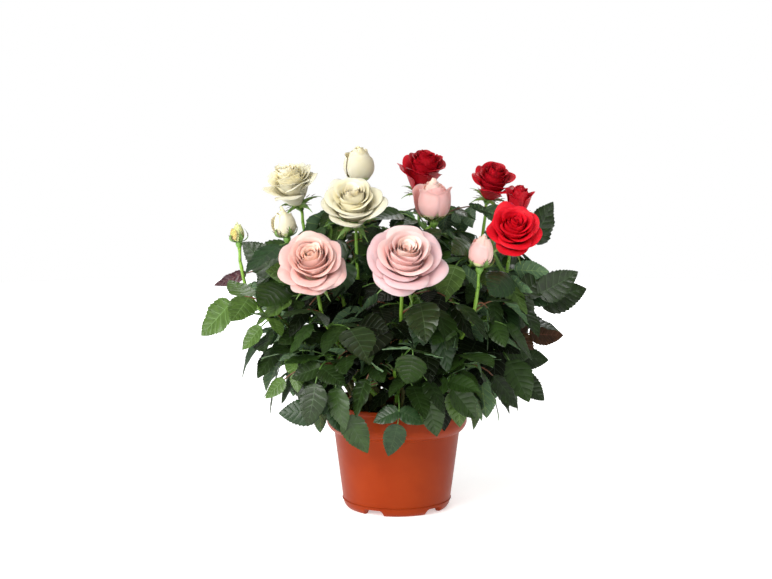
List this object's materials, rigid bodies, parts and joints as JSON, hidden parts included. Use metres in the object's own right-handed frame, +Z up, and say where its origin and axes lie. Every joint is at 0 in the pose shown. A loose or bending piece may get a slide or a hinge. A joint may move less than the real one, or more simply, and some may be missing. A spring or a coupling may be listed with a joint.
{
  "type": "rose bush in a pot",
  "caption": "Miniature rose bush with white, pink and red roses and dark green compound leaves, growing in a round terracotta-coloured plastic pot filled with soil.",
  "frame": {"origin": "The centre of the pot's foot ring, on the level that the pot stands on. The whole plant's box is centred on it.", "axes": "+X is to the right of the side that is shown, along the plant's widest spread. +Y points to its back. +Z is up, along the pot's axis."},
  "size_m": [0.3537, 0.3291, 0.3271],
  "materials": {
    "pot": "satin moulded plastic, terracotta colour",
    "soil": "damp peat",
    "cane": "smooth green young wood with small thorns",
    "leaf": "semi-gloss dark green leaf with a matt grey-green underside",
    "petal_white": "soft matt petal, ivory, greenish outside and cream in its depth",
    "petal_pink": "soft matt petal, pale pink with a salmon heart",
    "petal_red": "velvety petal, scarlet to crimson"
  },
  "bodies": {
    "root": {"pot": "pot", "soil": "soil", "cane_white_left": "cane", "cane_white_top": "cane", "cane_white_middle": "cane", "cane_white_small": "cane", "cane_green_bud": "cane", "cane_pink_left": "cane", "cane_pink_middle": "cane", "cane_pink_half": "cane", "cane_pink_small": "cane", "cane_red_top": "cane", "cane_red_back": "cane", "cane_red_small": "cane", "cane_red_front": "cane", "bloom_white_left": "petal_white", "bloom_white_top": "petal_white", "bloom_white_middle": "petal_white", "bloom_white_small": "petal_white", "bloom_green_bud": "petal_white", "bloom_pink_left": "petal_pink", "bloom_pink_middle": "petal_pink", "bloom_pink_half": "petal_pink", "bloom_pink_small": "petal_pink", "bloom_red_top": "petal_red", "bloom_red_back": "petal_red", "bloom_red_small": "petal_red", "bloom_red_front": "petal_red", "cane_low_front": "cane", "cane_low_front_left": "cane", "cane_low_left": "cane", "cane_low_back_left": "cane", "cane_low_back": "cane", "cane_low_back_right": "cane", "cane_low_right": "cane", "cane_low_front_right": "cane", "cane_high_front": "cane", "cane_high_left": "cane", "cane_high_back_left": "cane", "cane_high_back_right": "cane", "cane_high_right": "cane", "cane_top_left": "cane", "cane_top_right": "cane", "leaves_low_front": "leaf", "leaves_low_front_left": "leaf", "leaves_low_left": "leaf", "leaves_low_back_left": "leaf", "leaves_low_back": "leaf", "leaves_low_back_right": "leaf", "leaves_low_right": "leaf", "leaves_low_front_right": "leaf", "leaves_high_front": "leaf", "leaves_high_left": "leaf", "leaves_high_back_left": "leaf", "leaves_high_back_right": "leaf", "leaves_high_right": "leaf", "leaves_top_left": "leaf", "leaves_top_right": "leaf"}
  },
  "joints": []
}
